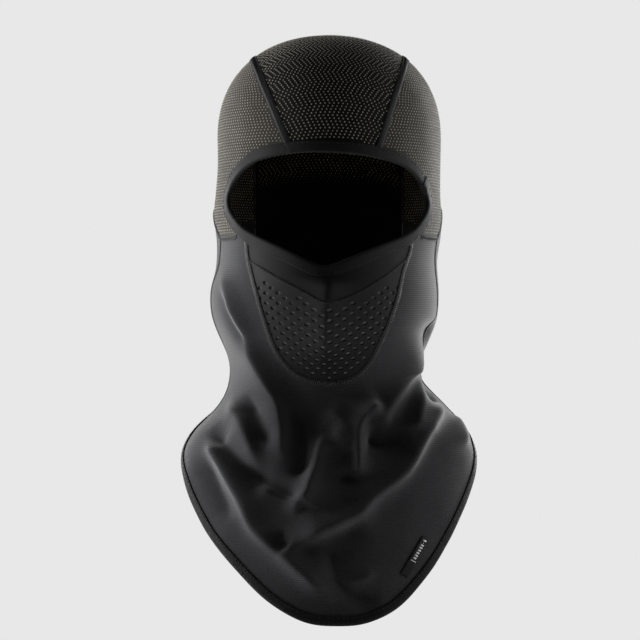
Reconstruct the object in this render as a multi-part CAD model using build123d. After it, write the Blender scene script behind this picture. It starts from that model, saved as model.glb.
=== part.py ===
from build123d import *
import math
import os

os.makedirs("parts", exist_ok=True)

# A sewn balaclava as it sits on a head. The face opening looks along -Y, +Z is up and +X is
# the wearer's left. The origin is the middle of the head at the level of the temples.
# All sizes are millimetres, taken over the cloth.

# the head
head_width = 160.0
head_front = 99.0
head_back = 101.0
brow_level = 38.0
brow_front = 96.0
crown_rise = 74.0
crown_fullness = 2.25

# nose, jaw and neck
nose_level = -48.0
nose_front = 104.0
nose_back = 84.0
jaw_level = -92.0
jaw_width = 154.0
jaw_front = 97.0
jaw_back = 68.0
neck_level = -134.0
neck_width = 136.0
neck_front = 68.0
neck_back = 65.0

# the bib below the neck
shoulder_level = -182.0
shoulder_width = 208.0
shoulder_front = 79.0
shoulder_back = 77.0
bib_width = 216.0
bib_front = 99.0
bib_back = 97.0
bib_length = 296.5          # origin to the lowest point of the front lobe
bib_run_out = 16.0          # body drawn below the lobe before the hem is cut

# cloth
cloth_thickness = 1.2
tape_thickness = 0.8
thread_thickness = 0.5
label_thickness = 0.5
lining_thickness = 0.5

# face opening, to its free edge
opening_side_margin = 9.5   # from the side of the head to the opening
opening_top = 23.5
opening_side_level = -9.0
opening_cheek_level = -34.0
opening_tip_level = -54.0
opening_tip_slope = 0.4
opening_cheek_share = 0.71
cheek_sideways = 0.45       # how far the edge turns outwards under the cheek
arch_fullness = 2.6
arch_steps = 8
opening_binding_width = 8.0

# seams on the head
crown_brow_half = 28.0
crown_mid_half = 42.0
crown_top_half = 52.0
crown_nape_half = 55.0
crown_nape_level = -42.0
crown_nape_drop = 20.0
cheek_seam_front = -56.0
cheek_seam_level = -34.0
ear_peak_level = -12.0
ear_peak_reach = 6.0
behind_ear_level = -24.0

# mouth and nose panels
mouth_top_half = 57.0
mouth_mid_half = 46.0
mouth_low_half = 27.0
mouth_mid_level = -87.0
mouth_bottom_level = -135.0
nose_side_level = -50.0
nose_bottom_level = -78.0

# join of front panel and back panel
side_join_top = -31.0
side_join_jaw = -18.0
side_join_neck = -2.0
side_join_hem = 6.0

# hem, as seen from the side
hem_mid_reach = -60.0
hem_mid_level = -240.0
hem_side_level = -186.0
hem_shoulder_level = -157.0
hem_shoulder_front = 26.0
hem_shoulder_back = 44.0
hem_back_level = -206.0
hem_binding_width = 6.5

# seams and stitching
flatlock_width = 3.4
nose_seam_width = 1.6
stitch_width = 1.0
stitch_inset = 1.6          # from the inner edge of a binding to its stitch row

# label on the left half of the bib
label_length = 30.0
label_width = 6.6
label_side = 59.0
label_level = -254.0
label_lean = 58.0

far = 400.0                 # reach of a cutting prism

head_half = head_width / 2
opening_half = head_half - opening_side_margin
crown_level = brow_level + crown_rise
bottom_level = -bib_length - bib_run_out
neck_top_level = (jaw_level + neck_level) / 2
neck_low_level = (neck_level + shoulder_level) / 2
chest_level = (shoulder_level - bib_length) / 2


def mean(first, second, share=0.5):
    return first + (second - first) * share


# level, half width, front depth, back depth, from the hem up to the brow
stations = [
    (bottom_level, bib_width / 2 + 1, bib_front + 4, bib_back + 3),
    (chest_level, bib_width / 2, mean(bib_front, shoulder_front, 0.45), mean(bib_back, shoulder_back, 0.4)),
    (shoulder_level, shoulder_width / 2, shoulder_front, shoulder_back),
    (neck_low_level, mean(neck_width, shoulder_width, 0.36) / 2, mean(neck_front, shoulder_front, 0.3),
     mean(neck_back, shoulder_back, 0.3)),
    (neck_level, neck_width / 2, neck_front, neck_back),
    (neck_top_level, mean(neck_width, jaw_width, 0.2) / 2, mean(neck_front, jaw_front, 0.56), neck_back),
    (jaw_level, jaw_width / 2, jaw_front, jaw_back),
    (nose_level, head_half - 0.5, nose_front, nose_back),
    (0, head_half, head_front, head_back - 2),
    (brow_level, head_half, brow_front, head_back),
]
body_sections = 24
dome_shares = (0.24, 0.44, 0.61, 0.75, 0.86, 0.94, 0.985, 0.998)


def steepness(low, middle, high, column):
    """Rate of change of one column at a station, weighted towards the nearer neighbour."""
    below = middle[0] - low[0]
    above = high[0] - middle[0]
    rate_below = (middle[column] - low[column]) / below
    rate_above = (high[column] - middle[column]) / above
    return (rate_below * above + rate_above * below) / (below + above)


def station_rates(index, column):
    low = stations[max(index - 1, 0)]
    high = stations[min(index + 1, len(stations) - 1)]
    if low is stations[index] or high is stations[index]:
        return 0.0
    return steepness(low, stations[index], high, column)


def blend(index, share, column):
    """Cubic blend between one station and the next."""
    here = stations[index]
    there = stations[index + 1]
    span = there[0] - here[0]
    rise = there[column] - here[column]
    leave = station_rates(index, column) * span
    arrive = station_rates(index + 1, column) * span
    bend = share * (1 - share)
    ease = share * share * (3 - 2 * share)
    return here[column] + rise * ease + bend * ((1 - share) * leave - share * arrive)


def body_row(level):
    """Level, half width, front depth and back depth between the hem and the brow."""
    index = max(i for i in range(len(stations) - 1) if stations[i][0] <= level)
    share = (level - stations[index][0]) / (stations[index + 1][0] - stations[index][0])
    return (level, blend(index, share, 1), blend(index, share, 2), blend(index, share, 3))


def dome_row(share):
    scale = (1 - share ** crown_fullness) ** (1 / crown_fullness)
    return (brow_level + crown_rise * share, head_half * scale, brow_front * scale, head_back * scale)


rows = [body_row(mean(bottom_level, brow_level, i / body_sections)) for i in range(body_sections)]
rows += [body_row(brow_level)]
rows += [dome_row(share) for share in dome_shares]


def section(level, half, front, back):
    """Closed section: a half ellipse in front and another behind."""
    ahead = EllipticalCenterArc((0, 0, level), half, front, start_angle=180, arc_size=180)
    behind = EllipticalCenterArc((0, 0, level), half, back, start_angle=0, arc_size=180)
    return Wire([ahead, behind])


def body(grow):
    """The worn shape, grown outwards by the given amount."""
    rings = []
    for level, half, front, back in rows:
        lift = grow * max(0, level - brow_level) / crown_rise
        rings.append(section(level + lift, half + grow, front + grow, back + grow))
    return Solid.make_loft(rings)


# cutting prisms are drawn in the front view (x, z) or in the side view (y, z)


def front_cutter(outline):
    return extrude(Plane.XZ * outline, far)


def rear_cutter(outline):
    return extrude(Plane.XZ * outline, -far)


def side_cutter(outline):
    return extrude(Plane.YZ * outline, far, both=True)


def rounded_top(half, low, high):
    """Points over a full, rounded arch from its left foot to its right foot."""
    points = []
    for step in range(arch_steps + 1):
        angle = math.pi * step / arch_steps
        along = math.copysign(abs(math.cos(angle)) ** (2 / arch_fullness), -math.cos(angle))
        points.append((half * along, low + (high - low) * math.sin(angle) ** (2 / arch_fullness)))
    return points


def foreshortening(side):
    """Width seen from the front of a millimetre of cloth that far to the side of the face."""
    share = side / head_half
    ahead = head_half * math.sqrt(1 - share ** 2)
    return ahead / math.hypot(ahead, head_front * share)


def opening_outline(grow):
    """Edge of the face opening, or a line that runs the given width outside its free edge."""
    half = opening_half + grow * foreshortening(opening_half)
    arch = rounded_top(half, opening_side_level, opening_top + grow)
    cheek_half = opening_half * opening_cheek_share
    cheek_side = cheek_half + grow * foreshortening(cheek_half) * cheek_sideways
    cheek = (cheek_side, opening_cheek_level - grow * math.sqrt(1 - cheek_sideways ** 2))
    tip = (0, opening_tip_level - grow * math.hypot(1, opening_tip_slope))
    edge = [tip, (-cheek[0], cheek[1])] + arch + [cheek, tip]
    return make_face(Spline(edge))


def crown_side_point():
    """Level at which the crown seam passes over the middle of the head."""
    scale = crown_top_half / head_half
    return brow_level + crown_rise * (1 - scale ** crown_fullness) ** (1 / crown_fullness)


def crown_front_line():
    ridge = crown_side_point()
    return [
        (crown_brow_half - 4, 0),
        (crown_brow_half, opening_top),
        (crown_mid_half, mean(opening_top, ridge, 0.57)),
        (crown_top_half, ridge),
    ]


def crown_rear_line():
    ridge = crown_side_point()
    return [
        (crown_top_half, ridge),
        (mean(crown_top_half, crown_nape_half, 0.7), opening_top),
        (crown_nape_half, crown_nape_level),
    ]


def crown_rear_reach_line():
    """Outer edge of the crown seam behind the head."""
    return [(x + flatlock_width / 2, z) for x, z in crown_rear_line()]


def strip_outline(line, top, bottom_rise):
    """Area between a seam line and its mirror image, closed by an arc below and a line above."""
    right = Spline(line)
    left = Spline([(-x, z) for x, z in line])
    low_x, low_z = min(line, key=lambda point: point[1])
    high_x, high_z = max(line, key=lambda point: point[1])
    floor = ThreePointArc((-low_x, low_z), (0, low_z - bottom_rise), (low_x, low_z))
    roof = Polyline((-high_x, high_z), (-high_x, top), (high_x, top), (high_x, high_z))
    return make_face(right.edges() + left.edges() + floor.edges() + roof.edges())



def mouth_line():
    return [
        (-mouth_top_half, opening_side_level),
        (-mean(mouth_top_half, mouth_mid_half, 0.3), nose_side_level),
        (-mouth_mid_half, mouth_mid_level),
        (-mouth_low_half, mean(mouth_mid_level, mouth_bottom_level, 0.79)),
        (0, mouth_bottom_level),
        (mouth_low_half, mean(mouth_mid_level, mouth_bottom_level, 0.79)),
        (mouth_mid_half, mouth_mid_level),
        (mean(mouth_top_half, mouth_mid_half, 0.3), nose_side_level),
        (mouth_top_half, opening_side_level),
    ]


def mouth_outline():
    line = mouth_line()
    return make_face([Spline(line), Line(line[-1], line[0])])


def nose_line():
    return [
        (-mouth_top_half, nose_side_level),
        (-mouth_top_half * 0.6, mean(nose_side_level, nose_bottom_level, 0.45)),
        (0, nose_bottom_level),
        (mouth_top_half * 0.6, mean(nose_side_level, nose_bottom_level, 0.45)),
        (mouth_top_half, nose_side_level),
    ]


def nose_outline():
    line = nose_line()
    lid = Polyline(line[0], (line[0][0], opening_top), (line[-1][0], opening_top), line[-1])
    return make_face(Spline(line).edges() + lid.edges())


def cheek_line():
    """Lower seam of the side panels, rising round the ear and running level to the nape."""
    return [
        (side_join_top, cheek_seam_level),
        (mean(side_join_top, ear_peak_reach, 0.45), mean(cheek_seam_level, ear_peak_level, 0.55)),
        (ear_peak_reach, ear_peak_level),
        (mean(ear_peak_reach, head_back, 0.45), behind_ear_level),
        (mean(ear_peak_reach, head_back, 0.8), ear_peak_level),
    ]


def above_cheek_outline():
    line = cheek_line()
    front = (cheek_seam_front, cheek_seam_level)
    frame = Polyline(
        line[-1], (far, ear_peak_level), (far, far), (-far, far), (-far, opening_side_level),
        (cheek_seam_front, opening_side_level), front, line[0],
    )
    return make_face(Spline(line).edges() + frame.edges())


def side_join_line():
    return [
        (side_join_top, cheek_seam_level),
        (side_join_jaw, jaw_level),
        (side_join_neck, neck_level),
        (side_join_hem, shoulder_level),
    ]


def ahead_of_join_outline():
    line = side_join_line()
    frame = Polyline(
        line[-1],
        (side_join_hem, bottom_level - 1),
        (-far, bottom_level - 1),
        (-far, far),
        (side_join_top, far),
        line[0],
    )
    return make_face(Spline(line).edges() + frame.edges())


def hem_line():
    return [
        (-bib_front - 2, -bib_length),
        (hem_mid_reach, hem_mid_level),
        (0, hem_side_level),
        (hem_shoulder_front, hem_shoulder_level),
        (hem_shoulder_back, hem_shoulder_level),
        (bib_back, hem_back_level),
    ]


def on_body(reach, level):
    """Point on the left half of the worn shape, at a reach along y and a level."""
    row = body_row(level)
    depth = row[2] if reach < 0 else row[3]
    return (row[1] * math.sqrt(max(0, 1 - (reach / depth) ** 2)), reach, level)


def hem_lifts(width):
    """Upward shift of each hem point that makes a band of even width along the slanting hem."""
    places = [on_body(reach, level) for reach, level in hem_line()]
    lifts = []
    for index in range(len(places)):
        low = places[max(index - 1, 0)]
        high = places[min(index + 1, len(places) - 1)]
        run = math.hypot(high[0] - low[0], high[1] - low[1])
        lifts.append(width * math.hypot(1, (high[2] - low[2]) / run))
    lifts[0] = width
    lifts[-1] = width
    return lifts


def below_hem_outline(width):
    """Area below the hem, or below a line that runs the given width inside it."""
    line = [(reach, level + lift) for (reach, level), lift in zip(hem_line(), hem_lifts(width))]
    floor = bottom_level - far
    frame = Polyline(line[-1], (far, line[-1][1]), (far, floor), (-far, floor), (-far, line[0][1]), line[0])
    return make_face(Spline(line).edges() + frame.edges())


# prisms for each boundary
opening_free = front_cutter(opening_outline(0))
opening_cut = front_cutter(opening_outline(tape_thickness))
opening_reach = front_cutter(opening_outline(opening_binding_width))
crown_rear_area = rear_cutter(strip_outline(crown_rear_line(), far, crown_nape_drop))
crown_rear_reach = rear_cutter(strip_outline(crown_rear_reach_line(), far, crown_nape_drop))
crown_area = front_cutter(strip_outline(crown_front_line(), far, thread_thickness)) + crown_rear_area
above_cheek = side_cutter(above_cheek_outline())
mouth_area = front_cutter(mouth_outline())
nose_area = front_cutter(nose_outline())
ahead_of_join = side_cutter(ahead_of_join_outline())
below_hem_free = side_cutter(below_hem_outline(0))
below_hem_cut = side_cutter(below_hem_outline(tape_thickness))
below_hem_reach = side_cutter(below_hem_outline(hem_binding_width))
left_half = Pos(far / 2, 0, 0) * Box(far, 2 * far, 4 * far)

# bodies at each depth of the cloth
outside = body(0)
inside = body(-cloth_thickness)
tape_outside = body(tape_thickness)
tape_inside = body(-cloth_thickness - tape_thickness)
thread_outside = body(thread_thickness)
cloth = outside - inside - opening_cut - below_hem_cut


def sides(piece):
    """The wearer's left and right halves of a piece."""
    return {"left": piece & left_half, "right": piece - left_half}


def panels():
    crown = cloth & crown_area
    rest = cloth - crown_area
    mesh_sides = sides(rest & above_cheek)
    low = rest - above_cheek
    mouth = low & mouth_area
    front = (low - mouth_area) & ahead_of_join
    return {
        "crown_panel": crown,
        "side_panel_left": mesh_sides["left"],
        "side_panel_right": mesh_sides["right"],
        "nose_panel": mouth & nose_area,
        "mouth_panel": mouth - nose_area,
        "front_panel": front,
        "back_neck_panel": low - mouth_area - ahead_of_join,
    }


def bindings():
    face = (tape_outside & opening_reach) - tape_inside - opening_free
    hem = (tape_outside & below_hem_reach) - tape_inside - below_hem_free
    return {"face_binding": face - cloth, "hem_binding": hem - cloth}


def line_band(line, width):
    """Flat strip of even width along a line."""
    return trace(Spline(line), width)


def laid(prism):
    """Thread laid on the cloth inside a prism, clear of both bindings."""
    return (thread_outside & prism) - outside - opening_reach - below_hem_reach


def crown_seam():
    """The left crown seam, from the brow over the head to the nape."""
    front = laid(front_cutter(line_band(crown_front_line(), flatlock_width)))
    rear = laid(rear_cutter(line_band(crown_rear_line(), flatlock_width)))
    return front + rear


def nape_seam():
    """The seam under the crown panel, between the two crown seams."""
    low_x, low_z = crown_rear_line()[-1]
    arc = ThreePointArc((-low_x, low_z), (0, low_z - crown_nape_drop), (low_x, low_z))
    between = Box(2 * low_x - flatlock_width, far, far)
    return laid(rear_cutter(trace(arc, flatlock_width)) & between)


def cheek_seam():
    """The left seam under the side panel, ending at the crown seam."""
    front = (cheek_seam_front, cheek_seam_level)
    ahead = left_half & side_cutter(trace(Line(front, cheek_line()[0]), flatlock_width))
    behind = left_half & side_cutter(line_band(cheek_line(), flatlock_width))
    return (laid(ahead) + laid(behind)) - crown_rear_reach


def neck_seam():
    """The left join of front panel and back panel, ending under the cheek seam."""
    top, *rest = side_join_line()
    start = (top[0] + 1, top[1] - flatlock_width / 2)
    return laid(left_half & side_cutter(line_band([start] + rest, flatlock_width)))


def mouth_seam():
    return laid(front_cutter(line_band(mouth_line(), flatlock_width)))


def nose_seam():
    inside_mouth = mouth_area - front_cutter(line_band(mouth_line(), flatlock_width))
    return laid(front_cutter(line_band(nose_line(), nose_seam_width)) & inside_mouth)


def seams():
    """Every flatlock seam; the paired ones mirror each other."""
    found = {"nape_seam": nape_seam(), "mouth_seam": mouth_seam(), "nose_seam": nose_seam()}
    paired = {"crown_seam": crown_seam(), "cheek_seam": cheek_seam(), "neck_seam": neck_seam()}
    for name, piece in paired.items():
        found[f"{name}_left"] = piece
        found[f"{name}_right"] = mirror(piece, Plane.YZ)
    return found


def binding_stitches():
    """A row of thread on each binding, near its inner edge."""
    skin = body(tape_thickness + thread_thickness) - tape_outside
    face_far = opening_binding_width - stitch_inset
    face_near = face_far - stitch_width
    hem_far = hem_binding_width - stitch_inset
    hem_near = hem_far - stitch_width
    face = skin & front_cutter(opening_outline(face_far))
    hem = skin & side_cutter(below_hem_outline(hem_far))
    return {
        "face_binding_stitch": face - front_cutter(opening_outline(face_near)),
        "hem_binding_stitch": hem - side_cutter(below_hem_outline(hem_near)),
    }


def mouth_lining():
    """Fine mesh behind the perforated mouth panel."""
    layer = inside - body(-cloth_thickness - lining_thickness)
    return (layer & mouth_area) - nose_area - opening_reach


def hem_label():
    patch = Pos(label_side, label_level) * Rot(0, 0, label_lean) * Rectangle(label_length, label_width)
    return ((body(label_thickness) - outside) & front_cutter(patch)) - below_hem_reach


pieces = panels() | bindings() | seams() | binding_stitches()
pieces["mouth_lining"] = mouth_lining()
pieces["hem_label"] = hem_label()

for name, piece in pieces.items():
    export_step(piece, f"parts/{name}.step")
    print(name, len(piece.solids()), round(piece.volume), "mm3")
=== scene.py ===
import math
import random

import bmesh
import bpy
import numpy as np
from mathutils import Matrix, Vector
from mathutils.bvhtree import BVHTree
from mathutils.kdtree import KDTree


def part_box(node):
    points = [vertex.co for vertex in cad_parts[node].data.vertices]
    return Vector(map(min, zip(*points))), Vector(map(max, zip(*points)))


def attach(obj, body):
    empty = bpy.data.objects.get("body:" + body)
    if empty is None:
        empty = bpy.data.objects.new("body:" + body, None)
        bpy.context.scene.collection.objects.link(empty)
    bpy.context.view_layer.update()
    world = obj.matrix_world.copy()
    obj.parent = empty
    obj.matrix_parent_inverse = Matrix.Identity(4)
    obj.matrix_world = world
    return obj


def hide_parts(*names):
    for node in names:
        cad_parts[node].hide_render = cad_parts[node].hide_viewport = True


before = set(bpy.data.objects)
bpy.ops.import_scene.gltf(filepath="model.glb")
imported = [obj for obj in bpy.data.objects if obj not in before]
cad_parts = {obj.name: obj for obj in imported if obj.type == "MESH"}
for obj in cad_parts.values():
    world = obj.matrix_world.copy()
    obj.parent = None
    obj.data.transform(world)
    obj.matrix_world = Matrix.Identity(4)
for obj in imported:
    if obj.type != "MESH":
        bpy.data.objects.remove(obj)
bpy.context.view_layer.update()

# A sewn balaclava. Lengths below are millimetres unless a line says otherwise.
mm = 0.001
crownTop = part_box("crown_panel")[1][2] / mm
chance = random.Random(7)

print("shape: the worn body")

worn = {
    # level, half width, front depth, back depth, sideways lean
    "stations": [
        (-325, 109, 104, 101, 0), (-260, 108.5, 96, 93, 0), (-225, 108, 89, 87, 0),
        (-203, 107.5, 84, 82, 0), (-184, 106.5, 79.5, 77.5, 0), (-170, 98, 75.5, 73, 1),
        (-156, 84, 71, 69, 3), (-143, 73, 68.5, 66, 0), (-131, 66, 71, 65, -4.5),
        (-118, 68, 80, 65, -2.5), (-105, 73.5, 90, 66, -1.5), (-91, 79, 97.5, 68, -1),
        (-72, 81, 103, 75, -2), (-48, 78.5, 104, 84, -1.5), (-33, 80, 103, 89, 0),
        (-18, 82, 101, 93.5, -1), (-4, 80.3, 99.5, 97, -1), (20, 79.5, 97, 101, 0), (38, 80, 96, 101, 0),
    ],
    "bottom": -322,
    "browLevel": 38,
    "crownFullness": 2.25,
    "columns": 350,
    "bodyRows": 220,
    "domeRows": 70,
    "clothThickness": 1.2,
    "weaveRadius": 88.0,       # the weave is laid round the body at this radius
    "hemAllowance": 1.0,
}


def smoothStations(rows):
    levels = np.arange(rows[0][0], rows[-1][0] + 1.0, 1.0)
    table = np.array(rows, float)
    bell = np.exp(-0.5 * (np.arange(-12, 13) / 5.0) ** 2)
    bell /= bell.sum()
    columns = []
    for column in range(1, table.shape[1]):
        values = np.interp(levels, table[:, 0], table[:, column])
        columns.append(np.convolve(np.pad(values, 12, mode="edge"), bell, mode="valid"))
    return levels, columns


stationLevels, stationColumns = smoothStations(worn["stations"])


def sectionAt(level):
    return [np.interp(level, stationLevels, column) for column in stationColumns]


def wornPoint(turn, row):
    # turn is the angle from the front, in radians; row counts up from the hem end
    rise = np.clip((row - worn["bodyRows"]) / worn["domeRows"], 0, 1) * math.pi / 2
    share = np.clip(row / worn["bodyRows"], 0, 1)
    level = worn["bottom"] + (worn["browLevel"] - worn["bottom"]) * share
    half, ahead, behind, lean = sectionAt(level)
    power = 2 / worn["crownFullness"]
    scale = np.cos(rise) ** power
    z = level + (crownTop - worn["browLevel"]) * np.sin(rise) ** power
    depth = np.where(np.cos(turn) > 0, ahead, behind)
    return np.stack([half * scale * np.sin(turn) + lean, -depth * scale * np.cos(turn), z], axis=-1)


def smoothStep(x):
    x = np.clip(x, 0, 1)
    return x * x * (3 - 2 * x)


def lengthAlong(path):
    return np.concatenate([[0], np.cumsum(np.linalg.norm(np.diff(path, axis=0), axis=1))])


def curveThrough(points, steps=10):
    # Catmull-Rom curve through a few chosen points
    p = [np.array(q, float) for q in points]
    p = [2 * p[0] - p[1]] + p + [2 * p[-1] - p[-2]]
    out = []
    for i in range(1, len(p) - 2):
        for k in range(steps):
            t = k / steps
            a, b, c, d = p[i - 1], p[i], p[i + 1], p[i + 2]
            out.append(0.5 * (2 * b + (c - a) * t + (2 * a - 5 * b + 4 * c - d) * t * t
                              + (3 * b - a - 3 * c + d) * t ** 3))
    out.append(p[-2])
    return np.array(out)


def nearestOnLine(points, line):
    # distance, signed side and share along an open line, for many flat points
    best = np.full(len(points), 1e9)
    side = np.zeros(len(points))
    along = np.zeros(len(points))
    lengths = np.linalg.norm(np.diff(line, axis=0), axis=1)
    starts = lengthAlong(line)
    for i in range(len(lengths)):
        step = line[i + 1] - line[i]
        rel = points - line[i]
        t = np.clip((rel @ step) / (step @ step), 0, 1)
        off = rel - t[:, None] * step
        dist = np.hypot(off[:, 0], off[:, 1])
        closer = dist < best
        best[closer] = dist[closer]
        turn = step[0] * rel[:, 1] - step[1] * rel[:, 0]
        side[closer] = np.sign(turn[closer])
        along[closer] = ((starts[i] + t * lengths[i]) / starts[-1])[closer]
    return best, side, along


# Folds of the front, as lines in the front view. A height above zero is a ridge.
folds = [
    # points (x, z), height, width to the left and to the right of its direction, fade in, fade out
    # the long ridge from the cheek to the throat
    ([(-77, -50), (-68, -74), (-55, -101), (-41, -129), (-34, -148), (-31, -166), (-30, -182),
      (-28, -198)], 10, 5, 16, 0.22, 0.12),
    ([(-24, -148), (-20, -165), (-19, -184), (-22, -203)], -11, 8, 6, 0.3, 0.25),
    # the tent below the chin
    ([(-1, -165), (-7.3, -179.6), (-11, -194), (-14.5, -210), (-18, -220)], 10, 9, 6, 0.3, 0.12),
    ([(-1, -165), (7, -171), (12, -187), (15.5, -203)], 4.5, 5, 7, 0.2, 0.25),
    ([(-52, -206), (-36, -211), (-17, -220)], 6, 9, 4.5, 0.3, 0.15),
    ([(8.4, -174), (13, -190), (13.5, -206)], -9, 5, 6, 0.3, 0.2),
    ([(36, -151), (27.6, -155), (21, -164), (19.5, -175), (19, -188), (18.6, -203)], 10, 5, 8, 0.15, 0.2),
    ([(-3, -150), (8, -162), (14, -176)], 4, 7, 7, 0.3, 0.3),
    ([(24, -172), (38, -175), (53, -171)], -10, 7, 7, 0.2, 0.2),
    # folds under the right of the jaw
    ([(70, -100), (56, -128), (44, -147), (34, -165)], 9, 6, 12, 0.3, 0.06),
    ([(63, -130), (60, -148), (55, -170)], 8, 9, 4, 0.25, 0.08),
    # the step across the chest
    ([(80, -149), (65.5, -172.6), (57, -188), (48.4, -199.6), (29.8, -214), (21, -224), (8.4, -231),
      (-10, -239.5), (-26, -245)], 10, 4.5, 15, 0.1, 0.15),
    ([(-84, -167), (-70, -182.6), (-49, -199.6), (-27.5, -211), (-19, -217)], -9, 8, 6, 0.15, 0.15),
    # the long ridge down to the hem
    ([(-87, -171), (-77, -188), (-67, -205), (-58.6, -219.6), (-50, -236.7), (-33, -252),
      (-16, -266.6), (0, -281), (4, -288)], 8.5, 15, 5.5, 0.1, 0.2),
    ([(26, -229), (6, -238), (-12, -246), (-28, -252)], -5, 9, 4, 0.25, 0.25),
    ([(2, -240), (4, -258), (11, -273.7), (24, -280), (37, -280)], -5.5, 7, 7, 0.2, 0.25),
    ([(-74, -147), (-63, -158), (-56.5, -169.7), (-51.6, -182.6), (-46, -197)], 7, 6, 9, 0.25, 0.3),
    ([(-56, -142), (-51.6, -158), (-39, -183)], -7, 6, 7, 0.3, 0.3),
    ([(-76, -64), (-64, -91), (-47, -112)], -5, 5, 5, 0.3, 0.3),
    ([(78, -88), (68, -112), (60, -128)], -5, 6, 5, 0.3, 0.3),
    ([(60, -134), (68, -141), (78, -150)], -7, 4.5, 5, 0.3, 0.2),
    ([(-89, -185), (-80, -205), (-66, -232)], -5, 8, 9, 0.3, 0.3),
    ([(86, -157), (93, -168), (97, -182)], 4, 5, 6, 0.3, 0.3),
    ([(-36, -233), (-33, -243), (-27, -248)], -6.5, 4.5, 4.5, 0.3, 0.25),
    ([(11, -271), (22, -268), (32, -264)], 2.5, 3.5, 3.5, 0.3, 0.3),
    # the keel of the nose and mouth
    ([(0, -60), (-2, -80), (-3, -105), (-2, -130)], 7, 12, 12, 0.1, 0.35),
]
crest = 1.3        # 2 is a round fold, 1 a sharp one
foldsEnd = 18      # depth over which the folds fade out towards the sides


def foldHeight(base):
    flat = base[:, [0, 2]]
    lift = np.zeros(len(base))
    ahead = smoothStep(-base[:, 1] / foldsEnd)
    for points, height, near, far, fadeIn, fadeOut in folds:
        dist, side, along = nearestOnLine(flat, curveThrough(points, 6))
        width = np.where(side > 0, near, far)
        ends = smoothStep(along / fadeIn) * smoothStep((1 - along) / fadeOut)
        lift += height * ends * np.exp(-(dist / width) ** crest) * ahead
    return lift


def softWaves(base, waves, seed):
    # slow unevenness of worn cloth, a few crossed waves
    rng = np.random.default_rng(seed)
    lift = np.zeros(len(base))
    for length, height in waves:
        for _ in range(4):
            way = rng.normal(size=3)
            way /= np.linalg.norm(way)
            lift += height * np.sin(base @ way * 2 * math.pi / length + rng.uniform(0, 2 * math.pi)) / 4
    return lift


def outlineDistance(points, outline):
    # signed distance to a closed outline, negative inside
    outline = np.array(outline, float)
    ends = np.roll(outline, -1, axis=0)
    best = np.full(len(points), 1e9)
    inside = np.zeros(len(points), bool)
    for start, end in zip(outline, ends):
        step = end - start
        length = step @ step
        if length < 1e-12:
            continue
        rel = points - start
        t = np.clip(rel @ step / length, 0, 1)
        best = np.minimum(best, np.linalg.norm(rel - t[:, None] * step, axis=1))
        crosses = (start[1] > points[:, 1]) != (end[1] > points[:, 1])
        with np.errstate(divide="ignore", invalid="ignore"):
            at = start[0] + (points[:, 1] - start[1]) * step[0] / step[1]
        inside ^= crosses & (points[:, 0] < at)
    return np.where(inside, -best, best)


print("pattern: seam lines and openings")

pattern = {
    # front view (x, z); the opening's free edge, from the dip under the nose round to the left of the view
    "opening": [(-2, -54), (-9, -53), (-29.5, -43), (-50, -33.2), (-60, -26.8), (-68, -17), (-70.8, -8.5),
                (-69.3, -0.5), (-64.4, 8.2), (-54.8, 16.4), (-43, 20.6), (-24, 23.2), (-4, 23.6), (25, 21.4),
                (48, 16.2), (57.5, 11), (64.7, 2.4), (68.6, -8.5), (66.3, -17.8), (58.8, -28),
                (48, -34.6), (25, -43.8), (3, -52.8)],
    "edgeAllowance": 1.0,      # cloth stops this far outside the free edge, inside the folded tape
    "crownFront": [(-21, 0), (-26, 22), (-34.2, 43), (-43.5, 66), (-52.5, 90), (-55, 98)],
    "crownFrontLeft": [(54, 98), (53.5, 90), (45, 62), (39, 43), (33.5, 25), (29, 0)],
    "crownRear": [(54.5, 98), (55, 22), (55, -42)],
    "napeDrop": 20,
    "cheek": [(-31, -34), (-20, -26), (-8, -16), (6, -12), (26, -16), (48, -24), (68, -19), (82, -12)],
    "cheekCorner": (-61, -34),
    "mouth": [(-58, -30), (-57, -45), (-54.5, -57), (-46.5, -87), (-38, -110), (-27, -125.5), (-15, -132.5),
              (0, -135), (15, -132), (27, -122), (36, -104), (45.5, -80), (51, -57), (56, -43), (57, -30)],
    "nose": [(-62, -46), (-54.5, -51), (-37, -61.5), (-19.7, -70.5), (-2.7, -77.8), (14.5, -74.5),
             (35, -63.5), (53, -49.5), (60, -44)],
    "join": [(-31, -34), (-24, -66), (-13, -105), (-2, -134), (5, -165), (7, -200)],
    # turn in degrees from the front, level
    "hem": [(-180, -178), (-150, -172), (-128, -160), (-108, -157), (-94, -168), (-84, -184), (-74, -201),
            (-62, -222), (-49, -244), (-36, -264), (-22.5, -284), (-9, -297), (3, -299.5), (14, -297.5),
            (26, -287.5), (38, -268), (48.5, -248), (59, -227.5), (71, -205), (82, -185), (92, -169),
            (108, -155), (128, -159), (150, -172), (180, -178)],
}


def openingOutline(grow):
    line = curveThrough(pattern["opening"] + pattern["opening"][:1], 6)[:-1]
    middle = np.array([0, -10.0])
    ahead = np.roll(line, -1, axis=0) - np.roll(line, 1, axis=0)
    away = np.stack([-ahead[:, 1], ahead[:, 0]], axis=1)
    away /= np.linalg.norm(away, axis=1)[:, None]
    away *= np.sign(np.sum(away * (line - middle), axis=1))[:, None]
    slant = np.sqrt(np.clip(1 - (line[:, 0] / 84) ** 2, 0.1, 1))   # cloth turns away at the sides
    away[:, 0] *= slant
    return line + grow * away


def crownFrontOutline():
    return np.concatenate([curveThrough(pattern["crownFront"]), [(-55, 400), (54, 400)],
                           curveThrough(pattern["crownFrontLeft"])])


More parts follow.
